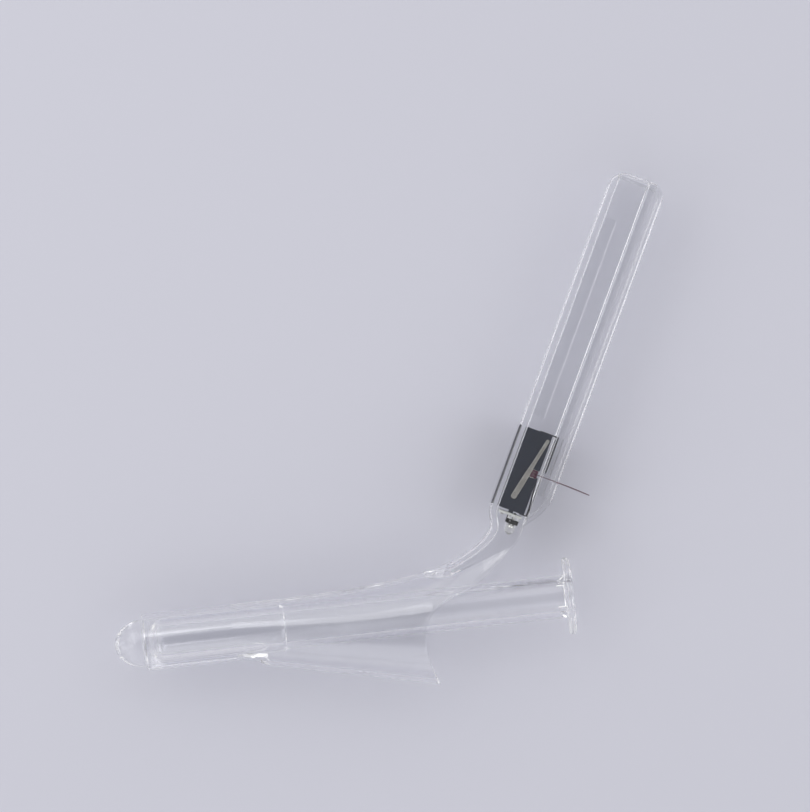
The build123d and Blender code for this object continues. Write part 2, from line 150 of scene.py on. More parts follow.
def object_noise(tree, scale, detail=3.0, stretch=(1.0, 1.0, 1.0), turn=0.0):
    """Noise on the object's own coordinates, in patches of 1 / scale metres.

    The patches are stretched along axes that are turned clockwise about Z, seen from above.
    """
    coords = add(tree, "ShaderNodeTexCoord")
    mapping = add(tree, "ShaderNodeMapping", vector_type="TEXTURE")
    mapping.inputs["Scale"].default_value = stretch
    mapping.inputs["Rotation"].default_value = (0.0, 0.0, -turn)
    noise = add(tree, "ShaderNodeTexNoise", {"Scale": scale, "Detail": detail})
    join(tree, coords.outputs["Object"], mapping.inputs["Vector"])
    join(tree, mapping.outputs["Vector"], noise.inputs["Vector"])
    return noise.outputs["Fac"]


NOISE_LOW = 0.3
NOISE_HIGH = 0.7


def ramp(tree, noise, low, high):
    """Number that runs from low to high as the noise runs over the range where most of it lies."""
    node = add(tree, "ShaderNodeMapRange", {"From Min": NOISE_LOW, "From Max": NOISE_HIGH})
    node.inputs["To Min"].default_value = low
    node.inputs["To Max"].default_value = high
    join(tree, noise, node.inputs["Value"])
    return node.outputs["Result"]


def bump(tree, height, distance):
    """Normal of a relief whose height is a noise times a distance in metres."""
    node = add(tree, "ShaderNodeBump", {"Distance": distance, "Strength": 1.0})
    join(tree, height, node.inputs["Height"])
    return node.outputs["Normal"]


def surface(tree, shader):
    """Material output that shows a shader."""
    output = add(tree, "ShaderNodeOutputMaterial")
    join(tree, shader, output.inputs["Surface"])


print("a ramp covers the noise from", NOISE_LOW, "to", NOISE_HIGH)

# %% [markdown]
# The object lies on a plain pale table. One large square is enough for it: the lens sees no edge,
# and the shadows and the light that comes back up through the clear walls are what it is there for.

# %% Stage
FLOOR_SIZE = 3.0
FLOOR_COLOUR = (0.575, 0.575, 0.65, 1.0)
FLOOR_ROUGHNESS = 0.75

floor_corners = FLOOR_SIZE / 2 * np.array([[-1, -1, 0], [1, -1, 0], [1, 1, 0], [-1, 1, 0]])
floor_mesh = bpy.data.meshes.new("floor")
floor_mesh.from_pydata(floor_corners.tolist(), [], [(0, 1, 2, 3)])
floor = bpy.data.objects.new("floor", floor_mesh)
bpy.context.scene.collection.objects.link(floor)

floor_material, tree = new_material("pale_table")
floor_inputs = {"Base Color": FLOOR_COLOUR, "Roughness": FLOOR_ROUGHNESS}
surface(tree, add(tree, "ShaderNodeBsdfPrincipled", floor_inputs).outputs["BSDF"])
floor_mesh.materials.append(floor_material)
print(f"floor: {FLOOR_SIZE} m square")

# %% [markdown]
# Clear plastic has no colour of its own to speak of. It is seen by what it bends and mirrors, so
# the room matters. The world is bright all round but dark straight overhead, where the photographer
# stands, so that flat faces don't mirror a white ceiling over what lies behind them. Its grey
# follows the height on a ramp, from the horizon at 0 to straight up at 1.

# %% World
ROOM_GREYS = ((0.0, 0.72), (0.25, 0.95), (0.8, 0.95), (0.93, 0.34), (1.0, 0.22))

world = bpy.data.worlds.new("studio")
bpy.context.scene.world = world
world.use_nodes = True
tree = world.node_tree
tree.nodes.clear()
coords = add(tree, "ShaderNodeTexCoord")
split = add(tree, "ShaderNodeSeparateXYZ")
room = add(tree, "ShaderNodeValToRGB")
room.color_ramp.interpolation = "EASE"
stops = room.color_ramp.elements
stops[0].position, stops[1].position = ROOM_GREYS[0][0], ROOM_GREYS[-1][0]
for height, _ in ROOM_GREYS[1:-1]:
    stops.new(height)
for stop, (_, grey) in zip(stops, ROOM_GREYS):
    stop.color = (grey, grey, grey, 1.0)
sky = add(tree, "ShaderNodeBackground", {"Strength": 1.0})
output = add(tree, "ShaderNodeOutputWorld")
join(tree, coords.outputs["Generated"], split.inputs["Vector"])
join(tree, split.outputs["Z"], room.inputs["Fac"])
join(tree, room.outputs["Color"], sky.inputs["Color"])
join(tree, sky.outputs["Background"], output.inputs["Surface"])
print("world: heights and their greys", ROOM_GREYS)

# %% [markdown]
# Three soft lamps add the highlights: a large square one for the broad shine and the shadow's side,
# and two narrow strips that draw long lines on the round walls. Large weak lamps are chosen over
# small strong ones, because a flat wall mirrors a small lamp as a hard white patch.


# %% Lamps
def soft_lamp(name, place, size, power):
    """Rectangular area lamp at place, turned towards the middle of the table."""
    data = bpy.data.lights.new(name, "AREA")
    data.shape = "RECTANGLE"
    data.size, data.size_y = size
    data.energy = power
    lamp = bpy.data.objects.new(name, data)
    lamp.location = place
    lamp.rotation_euler = (-Vector(place)).to_track_quat("-Z", "Y").to_euler()
    bpy.context.scene.collection.objects.link(lamp)
    print(f"{name}: {size[0]} m by {size[1]} m, {power} W")


soft_lamp("key", (-0.55, 0.55, 0.75), (0.85, 0.85), 2.8)
soft_lamp("right_strip", (0.75, -0.2, 0.55), (0.3, 0.9), 1.1)
soft_lamp("left_strip", (-0.8, -0.15, 0.45), (0.25, 0.8), 0.7)

# %% [markdown]
# The walls of the body are the main finish. Light goes in, bends, and comes out again, so the
# material is a full transmission shader with the bending power of polystyrene. Lamps would throw
# a black shadow through it, because a path tracer can't find the way light takes through bent
# walls, so rays that look for a lamp pass straight through a pale tint instead. The melt flowed
# along the mould, so the faint waves are long one way and short the other.

# %% Clear plastic
FLOW_SCALE = 55.0
FLOW_STRETCH = (1.0, 2.2, 1.0)
FLOW_DULLING = 2.5


def clear_plastic(name, tint, ior, polish, waves):
    """Transmission shader with faint flow waves; rays to lamps go through a tint."""
    material, tree = new_material(name)
    body_inputs = {"Base Color": (*tint, 1.0), "IOR": ior, "Transmission Weight": 1.0}
    body = add(tree, "ShaderNodeBsdfPrincipled", body_inputs)
    flow = object_noise(tree, FLOW_SCALE, detail=2.0, stretch=FLOW_STRETCH)
    join(tree, ramp(tree, flow, polish, polish * FLOW_DULLING), body.inputs["Roughness"])
    join(tree, bump(tree, flow, waves), body.inputs["Normal"])
    open_way = add(tree, "ShaderNodeBsdfTransparent", {"Color": (*tint, 1.0)})
    path = add(tree, "ShaderNodeLightPath")
    mix = add(tree, "ShaderNodeMixShader")
    join(tree, path.outputs["Is Shadow Ray"], mix.inputs["Fac"])
    join(tree, body.outputs["BSDF"], mix.inputs[1])
    join(tree, open_way.outputs["BSDF"], mix.inputs[2])
    surface(tree, mix.outputs["Shader"])
    return material


def dress(node, material):
    """Puts a finish on a piece that keeps its construction shape."""
    slots = nodes[node].data.materials
    for index in range(len(slots)):
        slots[index] = material
    print(f"{node} wears {material.name}")


body_plastic = clear_plastic("body_plastic", (0.972, 0.974, 0.982), 1.57, 0.008, 0.000012)
plug_plastic = clear_plastic("plug_plastic", (0.97, 0.972, 0.98), 1.5, 0.01, 0.00001)
dress("speculum_body", body_plastic)
dress("handle_cover", body_plastic)
dress("obturator", plug_plastic)

# %% [markdown]
# Solid plastics come next. Each is a plain shader whose colour drifts a little in broad patches and
# whose roughness wanders over a fine grain, which is also in the bump, as a spark-eroded mould
# leaves it. The tray is blue-black, the film is plum, and the board and the chip's coating are
# made by the same recipe with other numbers.


# %% Solid plastics
def two_tones(tree, shader, factor, first, second):
    """Base colour that goes from a first to a second colour with a factor."""
    tone = add(tree, "ShaderNodeMix", data_type="RGBA")
    tone.inputs["A"].default_value = (*first, 1.0)
    tone.inputs["B"].default_value = (*second, 1.0)
    join(tree, factor, tone.inputs["Factor"])
    join(tree, tone.outputs["Result"], shader.inputs["Base Color"])


DRIFT_SCALE = 260.0
GRAIN_SPREAD = (0.8, 1.25)


def plastic(name, colour, roughness, grain, depth, blotch=0.15):
    """Moulded plastic: a colour that drifts by the share blotch, and a grain of a scale and a depth."""
    material, tree = new_material(name)
    shader = add(tree, "ShaderNodeBsdfPrincipled", {"IOR": 1.5})
    darker = [channel * (1 - blotch) for channel in colour]
    lighter = [min(1.0, channel * (1 + blotch)) for channel in colour]
    two_tones(tree, shader, object_noise(tree, DRIFT_SCALE, detail=2.0), darker, lighter)
    fine = object_noise(tree, grain)
    low, high = (roughness * spread for spread in GRAIN_SPREAD)
    join(tree, ramp(tree, fine, low, high), shader.inputs["Roughness"])
    join(tree, bump(tree, fine, depth), shader.inputs["Normal"])
    surface(tree, shader.outputs["BSDF"])
    print(f"{name}: roughness {roughness}, grain {depth / MM * 1000:.1f} thousandths of a millimetre")
    return material


tray_plastic = plastic("tray_plastic", (0.014, 0.018, 0.032), 0.38, 5200.0, 0.000012)
hood_plastic = plastic("hood_plastic", (0.012, 0.012, 0.014), 0.45, 6000.0, 0.00001)
film_plum = plastic("film_plum", (0.09, 0.014, 0.042), 0.24, 3000.0, 0.000003)
seal_nylon = plastic("seal_nylon", (0.05, 0.05, 0.055), 0.5, 7000.0, 0.000006)
ceramic = plastic("ceramic", (0.02, 0.02, 0.022), 0.35, 9000.0, 0.000004)
board_mask = plastic("board_mask", (0.62, 0.63, 0.62), 0.3, 4000.0, 0.000004, blotch=0.06)
phosphor = plastic("phosphor", (0.85, 0.70, 0.12), 0.6, 8000.0, 0.000006)

# %% [markdown]
# Metals are drawn or rolled, so their fine noise is stretched into hairlines along the way the tool
# went, which for the strips is along the handle. A second, coarser noise mixes a bright and a dull
# tone, because plating tarnishes in patches. Wire and solder have no hairlines, so their noise
# isn't stretched.

# %% Metals
TARNISH_SCALE = 420.0
HAIR_SCALE = 9000.0
HAIR_DEPTH = 0.000004
HAIR_SPREAD = (0.7, 1.4)
DRAWN = (1.0, 14.0, 1.0)
MOLTEN = (1.0, 1.0, 1.0)


def metal(name, bright, dull, roughness, turn=HANDLE_LEAN, grain=DRAWN):
    """Metal with hairlines along its grain, and dull patches where the plating has tarnished."""
    material, tree = new_material(name)
    shader = add(tree, "ShaderNodeBsdfPrincipled", {"Metallic": 1.0})
    patch = object_noise(tree, TARNISH_SCALE, detail=4.0)
    two_tones(tree, shader, ramp(tree, patch, 0.0, 1.0), bright, dull)
    hair = object_noise(tree, HAIR_SCALE, detail=2.0, stretch=grain, turn=turn)
    low, high = (roughness * spread for spread in HAIR_SPREAD)
    join(tree, ramp(tree, hair, low, high), shader.inputs["Roughness"])
    join(tree, bump(tree, hair, HAIR_DEPTH), shader.inputs["Normal"])
    surface(tree, shader.outputs["BSDF"])
    print(f"{name}: roughness {roughness}")
    return material


can_steel = metal("can_steel", (0.72, 0.71, 0.69), (0.60, 0.585, 0.555), 0.24)
nickel_strip = metal("nickel_strip", (0.50, 0.49, 0.465), (0.36, 0.35, 0.33), 0.34)
dark_strip = metal("dark_strip", (0.115, 0.115, 0.125), (0.05, 0.05, 0.058), 0.36)
tin_solder = metal("tin_solder", (0.80, 0.80, 0.81), (0.66, 0.66, 0.67), 0.22, 0.0, MOLTEN)
gold_wire = metal("gold_wire", (0.95, 0.70, 0.28), (0.85, 0.60, 0.22), 0.2, 0.0, MOLTEN)

# %% [markdown]
# The small parts of the light are stampings, turned cans and mouldings. Each new one is a skin over
# rings of points: a profile spun about an axis makes the cans and domes, and a section carried
# along a bent line makes the strips. One helper turns such rings into a closed mesh, and it
# measures the volume, so that faces that came out pointing inwards are turned round.

# %% Skins over rings of points
SHARP_ANGLE = 40.0


def closed_skin(name, rings, material, node=None, body="speculum", loop=False):
    """Piece with quads between rings[row, step], and a fan of triangles to the middle of each end ring.

    With loop, the last ring joins the first instead. The volume is the sum over triangles of
    a . (b x c) / 6, and where it is negative the faces are turned round.
    """
    rows, steps = rings.shape[:2]
    points = np.concatenate([rings.reshape(-1, 3), rings[:1].mean(axis=1), rings[-1:].mean(axis=1)])
    row, step = np.meshgrid(np.arange(rows - 1), np.arange(steps), indexing="ij")
    here = row * steps + step
    beside = row * steps + (step + 1) % steps
    quads = np.stack([here, beside, beside + steps, here + steps], axis=-1).reshape(-1, 4)
    step = np.arange(steps)
    after = (step + 1) % steps
    last = (rows - 1) * steps
    near_fan = np.stack([after, step, np.full(steps, rows * steps)], axis=-1)
    far_fan = np.stack([last + step, last + after, np.full(steps, rows * steps + 1)], axis=-1)
    if loop:
        seam = np.stack([last + step, last + after, after, step], axis=-1)
        quads = np.concatenate([quads, seam])
        near_fan, far_fan = near_fan[:0], far_fan[:0]
        points = points[:-2]
    triangles = np.concatenate([quads[:, [0, 1, 2]], quads[:, [0, 2, 3]], near_fan, far_fan])
    corners = points[triangles] - points.mean(axis=0)
    volume = np.einsum("ij,ij->i", corners[:, 0], np.cross(corners[:, 1], corners[:, 2])).sum() / 6
    if volume < 0:
        quads, near_fan, far_fan = quads[:, ::-1], near_fan[:, ::-1], far_fan[:, ::-1]
    mesh = bpy.data.meshes.new(name)
    mesh.from_pydata(points.tolist(), [], quads.tolist() + near_fan.tolist() + far_fan.tolist())
    mesh.shade_smooth()
    mesh.set_sharp_from_angle(angle=math.radians(SHARP_ANGLE))
    mesh.materials.append(material)
    piece = bpy.data.objects.new(name, mesh)
    bpy.context.scene.collection.objects.link(piece)
    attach(piece, body)
    if node:
        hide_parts(node)
    print(f"{name}: {len(mesh.polygons)} faces, {abs(volume) / MM**3:.2f} mm3")


# %% [markdown]
# A new piece has to sit where its plain piece sat. So each one starts by measuring that piece along
# the handle: the least and the greatest offset, height and way across are all it needs.


# %% Measure a plain piece
def handle_span(node):
    """Lowest and highest (offset, height, across) of a piece, measured along the handle, in millimetres.

    Each is the dot product of the way from the tube's origin with that direction.
    """
    mesh = nodes[node].data
    points = np.empty(len(mesh.vertices) * 3)
    mesh.vertices.foreach_get("co", points)
    points = points.reshape(-1, 3) - tube_origin
    offset = points @ handle_back - HANDLE_FRONT
    local = np.stack([offset, points @ handle_up, points[:, 2]], axis=1) / MM
    return local.min(axis=0), local.max(axis=0)


tray_low, tray_high = handle_span("battery_cradle")
print("the tray measures", np.round(tray_high - tray_low, 2), "mm along the handle's directions")

# %% [markdown]
# Four button cells make the supply. Each is a steel can whose rim is rolled in over a nylon ring,
# which holds the smaller cap of the other pole. All three are turned shapes, so each one is a
# profile spun about the stack's own line, and the rim is an arc in that profile.


# %% Turned profiles
def corner_arc(centre, radius, start, end, steps=6):
    """Points (radius, height) on an arc about centre, from angle start to end in degrees."""
    angle = np.radians(np.linspace(start, end, steps))
    return [(centre[0] + radius * math.cos(a), centre[1] + radius * math.sin(a)) for a in angle]


def spun(profile, centre, steps=72):
    """Rings of a profile of (radius, height) points spun about the handle's long direction.

    A point at turn t lies at offset + radius cos t, height, across + radius sin t.
    """
    radius, height = np.array(profile, float).T
    turn = np.linspace(0, 2 * math.pi, steps, endpoint=False)
    offset = centre[0] + radius[:, None] * np.cos(turn)
    across = centre[1] + radius[:, None] * np.sin(turn)
    return in_handle(offset, height[:, None] + 0 * turn, across)


def turned_ring(profile, centre, steps=64):
    """Rings of a closed profile (radius, height) carried once round the handle's long direction."""
    turn = np.linspace(0, 2 * math.pi, steps, endpoint=False)
    radius, height = np.array(profile, float).T
    offset = centre[0] + np.cos(turn)[:, None] * radius
    across = centre[1] + np.sin(turn)[:, None] * radius
    return in_handle(offset, height + 0 * turn[:, None], across)


def middle_of(low, high):
    """Middle (offset, across) of a piece that is turned about the handle's long direction."""
    return (low[0] + high[0]) / 2, (low[2] + high[2]) / 2


PIN_HOLE = 0.02
print("a profile starts and ends", PIN_HOLE, "mm from its axis, and the skin closes the rest")

# %% [markdown]
# The can is drawn from its closed top down to the rolled rim. It has a shallow step on top, a round
# shoulder, and a faint groove above the rim, where the crimping tool pressed it in.

# %% Button cells
CELL_COUNT = 4
CAP_RADIUS = 3.1
CAP_STEP_SHARES = (0.55, 0.6)
CAP_STEP = 0.03
CAP_EDGE = 0.2
RIM_ROLL = 0.34
RIM_FLAT = 0.05
SEAL_WIDTH = 0.22
SHOULDER = 0.42
TOP_STEP = 0.05
TOP_STEP_SHARES = (0.62, 0.66)
GROOVE_DEPTH = 0.03
GROOVE_TOP = 1.25
GROOVE_SLOPE = 0.15
GROOVE_FOOT = 0.35
INNER_FLOOR = 0.7
FLOOR_GAP = 0.02
SEAL_LEVELS = (0.3, 0.6)

for index in range(1, CELL_COUNT + 1):
    cell = f"cell_{index}"
    low, high = handle_span(cell)
    centre = middle_of(low, high)
    radius = (high[0] - low[0]) / 2
    base, top = low[1], high[1]
    rim_height = base + RIM_ROLL + RIM_FLAT
    step_start, step_end = (radius * share for share in TOP_STEP_SHARES)
    can = [(PIN_HOLE, top - TOP_STEP), (step_start, top - TOP_STEP), (step_end, top)]
    can += corner_arc((radius - SHOULDER, top - SHOULDER), SHOULDER, 90, 0)
    can += [(radius, base + GROOVE_TOP), (radius - GROOVE_DEPTH, base + GROOVE_TOP - GROOVE_SLOPE)]
    can += [(radius - GROOVE_DEPTH, rim_height + GROOVE_FOOT)]
    can += corner_arc((radius - RIM_ROLL, rim_height), RIM_ROLL, 0, -120)
    can += [(CAP_RADIUS + SEAL_WIDTH, base + INNER_FLOOR), (PIN_HOLE, base + INNER_FLOOR + FLOOR_GAP)]
    closed_skin(f"{cell}_can", spun(can, centre), can_steel, node=cell)
    step_start, step_end = (CAP_RADIUS * share for share in CAP_STEP_SHARES)
    cap = [(PIN_HOLE, base), (step_start, base), (step_end, base + CAP_STEP)]
    cap += [(CAP_RADIUS - CAP_EDGE * 1.5, base + CAP_STEP)]
    cap += corner_arc((CAP_RADIUS - CAP_EDGE, base + CAP_STEP + CAP_EDGE), CAP_EDGE, -90, 0)
    cap += [(CAP_RADIUS, base + INNER_FLOOR - FLOOR_GAP), (PIN_HOLE, base + INNER_FLOOR - FLOOR_GAP)]
    closed_skin(f"{cell}_cap", spun(cap, centre), can_steel)
    seal_middle = CAP_RADIUS + SEAL_WIDTH / 2
    seal_low, seal_high = (base + level for level in SEAL_LEVELS)
    seal = corner_arc((seal_middle, seal_low), SEAL_WIDTH / 2, 180, 360)
    seal += [(CAP_RADIUS + SEAL_WIDTH, seal_high), (CAP_RADIUS, seal_high)]
    closed_skin(f"{cell}_seal", turned_ring(seal, centre), seal_nylon, loop=True)

# %% [markdown]
# The contacts are spring strip. Each follows a line in the side view, with its bends rounded, and
# the strip's section is carried along that line. A bend starts a set way before its corner, so the
# line is written as a few corners, the way a bending tool is set up.


# %% Bent strip
def bent_line(corners, bend, steps=6):
    """Line through corners, each inner corner rounded by a parabola that starts bend before it.

    Between a and b about corner c the point at share s is (1 - s)^2 a + 2 s (1 - s) c + s^2 b.
    """
    corners = np.array(corners, float)
    share = np.linspace(0, 1, steps)[:, None]
    line = [corners[:1]]
    for before, corner, after in zip(corners, corners[1:], corners[2:]):
        a = corner + (before - corner) * bend / np.linalg.norm(before - corner)
        b = corner + (after - corner) * bend / np.linalg.norm(after - corner)
        line.append((1 - share) ** 2 * a + 2 * share * (1 - share) * corner + share**2 * b)
    line.append(corners[-1:])
    return np.concatenate(line)


def rounded_section(width, thickness, edge, steps=4):
    """Ring of a rounded rectangle: four quarter circles of radius edge about its inner corners."""
    angle = np.radians(np.linspace(0, 90, steps)[None, :] + 90 * np.arange(4)[:, None])
    sign = np.array([[1, 1], [-1, 1], [-1, -1], [1, -1]])
    wide = sign[:, :1] * (width / 2 - edge) + edge * np.cos(angle)
    thick = sign[:, 1:] * (thickness / 2 - edge) + edge * np.sin(angle)
    return wide.ravel(), thick.ravel()


WHOLE_WIDTH = 2.0
SLIT_EDGE = 0.1
EDGE_SHARE = 0.35


def strip(line, width, thickness):
    """Rings of a flat strip whose middle follows line in the handle's side view.

    The section lies across the line: its thickness along the line's normal, its width across.
    Width may be one number, or one for each point of the line.
    """
    along = np.gradient(line, axis=0)
    along /= np.linalg.norm(along, axis=1, keepdims=True)
    normal = np.stack([-along[:, 1], along[:, 0]], axis=1)
    wide, thick = rounded_section(WHOLE_WIDTH, thickness, min(EDGE_SHARE * thickness, SLIT_EDGE))
    half = np.broadcast_to(width, len(line)) / 2
    flat = line[:, None, :] + thick[None, :, None] * normal[:, None, :]
    return in_handle(flat[..., 0], flat[..., 1], half[:, None] * wide[None, :])


print("a strip's edges are rounded by", SLIT_EDGE, "mm at most")

# %% [markdown]
# The bar behind the upper cells is one strip folded into a hairpin: over the top of the stack, down
# the back of the tray, and up again to a free end.

# %% Contact bar
bar_low, bar_high = handle_span("contact_bar")
BAR_GAUGE = 0.42
BAR_BEND = 0.2
HAIRPIN_DEPTH = 0.9
FREE_END_GAP = 1.2
bar_top = bar_high[1] - BAR_GAUGE / 2
bar_turn = bar_low[1] + BAR_GAUGE / 2
bar_rear = bar_high[0] - BAR_GAUGE / 2
bar_front = bar_high[0] - HAIRPIN_DEPTH + BAR_GAUGE / 2
bar_corners = [(bar_low[0], bar_top), (bar_rear, bar_top), (bar_rear, bar_turn)]
bar_corners += [(bar_front, bar_turn), (bar_front, bar_high[1] - FREE_END_GAP)]
bar_rings = strip(bent_line(bar_corners, BAR_BEND), bar_high[2] - bar_low[2], BAR_GAUGE)
closed_skin("contact_bar_fold", bar_rings, dark_strip, node="contact_bar")

# %% [markdown]
# The leaf behind the lower cells starts close to the tray below the film, leans away from it on
# its way down, and turns in under the tray, where its tail is riveted.

# %% Contact leaf
leaf_low, leaf_high = handle_span("contact_leaf")
LEAF_GAUGE = 0.34
LEAF_BEND = 0.3
LEAF_LEAN = (0.95, 0.9)
LEAF_LIP = 0.8
LEAF_STRAIGHT = 2.8
leaf_rear = leaf_high[0] - LEAF_GAUGE / 2
leaf_tail = leaf_low[1] + LEAF_GAUGE / 2
leaf_corners = [(leaf_rear - LEAF_LEAN[0], leaf_high[1])]
leaf_corners += [(leaf_rear - LEAF_LEAN[1], leaf_high[1] - LEAF_LIP)]
leaf_corners += [(leaf_rear, leaf_low[1] + LEAF_STRAIGHT), (leaf_rear, leaf_tail), (leaf_low[0], leaf_tail)]
leaf_rings = strip(bent_line(leaf_corners, LEAF_BEND), leaf_high[2] - leaf_low[2], LEAF_GAUGE)
closed_skin("contact_leaf_strip", leaf_rings, dark_strip, node="contact_leaf")

# %% [markdown]
# The spring on top of the stack is folded twice, like a Z, so that it gives when the cells are
# pushed in.

# %% Folded spring
spring_low, spring_high = handle_span("spring_contact")
SPRING_GAUGE = 0.24
SPRING_BEND = 0.16
half_gauge = SPRING_GAUGE / 2
spring_rear = spring_high[0] - half_gauge
spring_fold = (spring_low[0] + 2.5 * half_gauge, (spring_low[1] + spring_high[1]) / 2)
spring_corners = [(spring_low[0], spring_high[1] - half_gauge), (spring_rear, spring_high[1] - half_gauge)]
spring_corners += [spring_fold, (spring_rear, spring_low[1] + half_gauge)]
spring_width = spring_high[2] - spring_low[2]
spring_rings = strip(bent_line(spring_corners, SPRING_BEND), spring_width, SPRING_GAUGE)
closed_skin(
    "spring_contact_fold", spring_rings, nickel_strip, node="spring_contact"
)

# %% [markdown]
# The lower contact is a pressed cup with a dome that touches the first cell. The dome's height
# falls as a power of the cosine of the way out, which keeps its top broad and its foot steep.

# %% Domed contact
plate_low, plate_high = handle_span("end_contact")
PLATE_GAUGE = 0.3
PLATE_EDGE = 0.1
DOME_RADIUS = 1.7
DOME_POWER = 0.8
plate_centre = ((plate_low[0] + plate_high[0]) / 2, 0.0)
plate_radius = (plate_high[0] - plate_low[0]) / 2
plate_base = plate_low[1]
dome_foot = plate_base + PLATE_GAUGE
dome_rise = plate_high[1] - plate_base - PLATE_GAUGE
reach = np.linspace(0.01, 1.0, 14)
dome = list(zip(DOME_RADIUS * reach, dome_foot + dome_rise * np.cos(reach * math.pi / 2) ** DOME_POWER))
dome += [(plate_radius - PLATE_EDGE, dome_foot), (plate_radius, dome_foot - PLATE_EDGE)]
dome += [(plate_radius, plate_base + PLATE_EDGE), (plate_radius - PLATE_EDGE, plate_base)]
dome += [(PIN_HOLE, plate_base)]
dome_rings = spun(dome, plate_centre)
closed_skin("end_contact_dome", dome_rings, nickel_strip, node="end_contact")

# %% [markdown]
# The rivet is a turned head too, but it points out of the leaf, so it is spun about the handle's
# backward direction: at a rise r its radius is the head's times cos r, and its height goes as sin r.

# %% Rivet
rivet_low, rivet_high = handle_span("leaf_rivet")
RIVET_NECK = 0.15
rivet_radius = (rivet_high[1] - rivet_low[1]) / 2
rivet_middle = (rivet_high[1] + rivet_low[1]) / 2
head_foot = rivet_low[0] + RIVET_NECK
head_height = rivet_high[0] - head_foot
rise = np.radians(np.linspace(0, 88, 9))
head_radius = np.concatenate([[PIN_HOLE, rivet_radius * 0.8], rivet_radius * np.cos(rise)])
head_offset = np.concatenate([[rivet_low[0]] * 2, head_foot + head_height * np.sin(rise)])
turn = np.linspace(0, 2 * math.pi, 40, endpoint=False)
rivet_rings = in_handle(
    head_offset[:, None] + 0 * turn,
    rivet_middle + head_radius[:, None] * np.cos(turn),
    head_radius[:, None] * np.sin(turn),
)
closed_skin("leaf_rivet_head", rivet_rings, dark_strip, node="leaf_rivet")

# %% [markdown]
# The strap lies flat on the upper side of the tray and joins its two ends at a slant. It widens
# towards its foot, fastest at its middle, as 1 / (1 + e^-x) does, and a quarter circle rounds each
# end. Half the width is carried out at right angles to its line, in the plane of the tray's side.

# %% Side strap
strap_low, strap_high = handle_span("side_strap")
STRAP_TOP_WIDTH = 1.1
STRAP_FOOT_WIDTH = 1.75
STRAP_HEAD_INSET = np.array([0.4, 0.15])
STRAP_FOOT_INSET = np.array([0.75, 0.5])
STRAP_SWELL = 14
BLUNT_END = 0.99
strap_head = strap_high[:2] - STRAP_HEAD_INSET
strap_foot = strap_low[:2] + STRAP_FOOT_INSET
strap_length = np.linalg.norm(strap_foot - strap_head)
share = (1 - np.cos(np.linspace(0, math.pi, 60))) / 2
strap_line = strap_head + (strap_foot - strap_head) * share[:, None]
strap_way = (strap_foot - strap_head) / strap_length
strap_side = np.array([-strap_way[1], strap_way[0]])
swell = 1 / (1 + np.exp(-STRAP_SWELL * (share - 0.5)))
end_share = STRAP_TOP_WIDTH / 2 / strap_length
from_end = np.clip(np.minimum(share, 1 - share) / end_share, 0, 1)
end_round = np.sqrt(1 - BLUNT_END * (1 - from_end) ** 2)
strap_half = (STRAP_TOP_WIDTH + (STRAP_FOOT_WIDTH - STRAP_TOP_WIDTH) * swell) / 2 * end_round
wide, thick = rounded_section(WHOLE_WIDTH, strap_high[2] - strap_low[2], SLIT_EDGE)
flat = strap_line[:, None, :] + (strap_half[:, None] * wide[None, :])[..., None] * strap_side
strap_level = (strap_low[2] + strap_high[2]) / 2 + thick
strap_rings = in_handle(flat[..., 0], flat[..., 1], np.broadcast_to(strap_level, flat.shape[:2]))
closed_skin("side_strap_plate", strap_rings, nickel_strip, node="side_strap")

# %% [markdown]
# The pull tab is a thin film that keeps the two cells apart. Its free end has rounded corners,
# droops a little where nothing holds it, and twists by a degree or two, so that from above its edge
# is a line that thickens and thins. It is a strip along its own line, with a width that follows a
# quarter circle at the corners.

# %% Pull tab
film_low, film_high = handle_span("pull_tab")
PARTING_OFFSET = 12.1
FILM_GAUGE = 0.24
FILM_CORNER = 1.2
FILM_DROOP = 0.35
FILM_TWIST = math.radians(2.6)
TWIST_WAY = math.radians(135)
corner_start = film_high[0] - FILM_CORNER
straight = np.linspace(film_low[0], corner_start, 44)[:-1]
rounding = 1 - np.sin(np.radians(np.linspace(0, 89, 12)))
reach = np.concatenate([straight, film_high[0] - FILM_CORNER * rounding])
free = np.clip((reach - PARTING_OFFSET) / (film_high[0] - PARTING_OFFSET), 0, 1)
film_level = (film_low[1] + film_high[1]) / 2
film_line = np.stack([reach, film_level - FILM_DROOP * free**2], axis=1)
past_corner = np.clip((reach - corner_start) / FILM_CORNER, 0, 1)
film_width = film_high[2] - film_low[2] - 2 * FILM_CORNER * (1 - np.sqrt(1 - past_corner**2))
film_rings = strip(film_line, film_width, FILM_GAUGE)
film_twist = np.tan(FILM_TWIST) * np.sin(free * TWIST_WAY) ** 2
film_rings = film_rings + film_twist[:, None, None] * (film_rings[..., 2:] - axis_z) * handle_up
closed_skin("pull_tab_film", film_rings, film_plum, node="pull_tab", body="pull_tab")

# %% [markdown]
# Beside the notch in the tray the film's edge is folded over the side of the cells, so a plum patch
# shows there. It is a sheet bent about the stack: a point at turn t and height h lies on a circle
# a little larger than the cell. Two crossed waves crease it, so that it catches the light in spots.

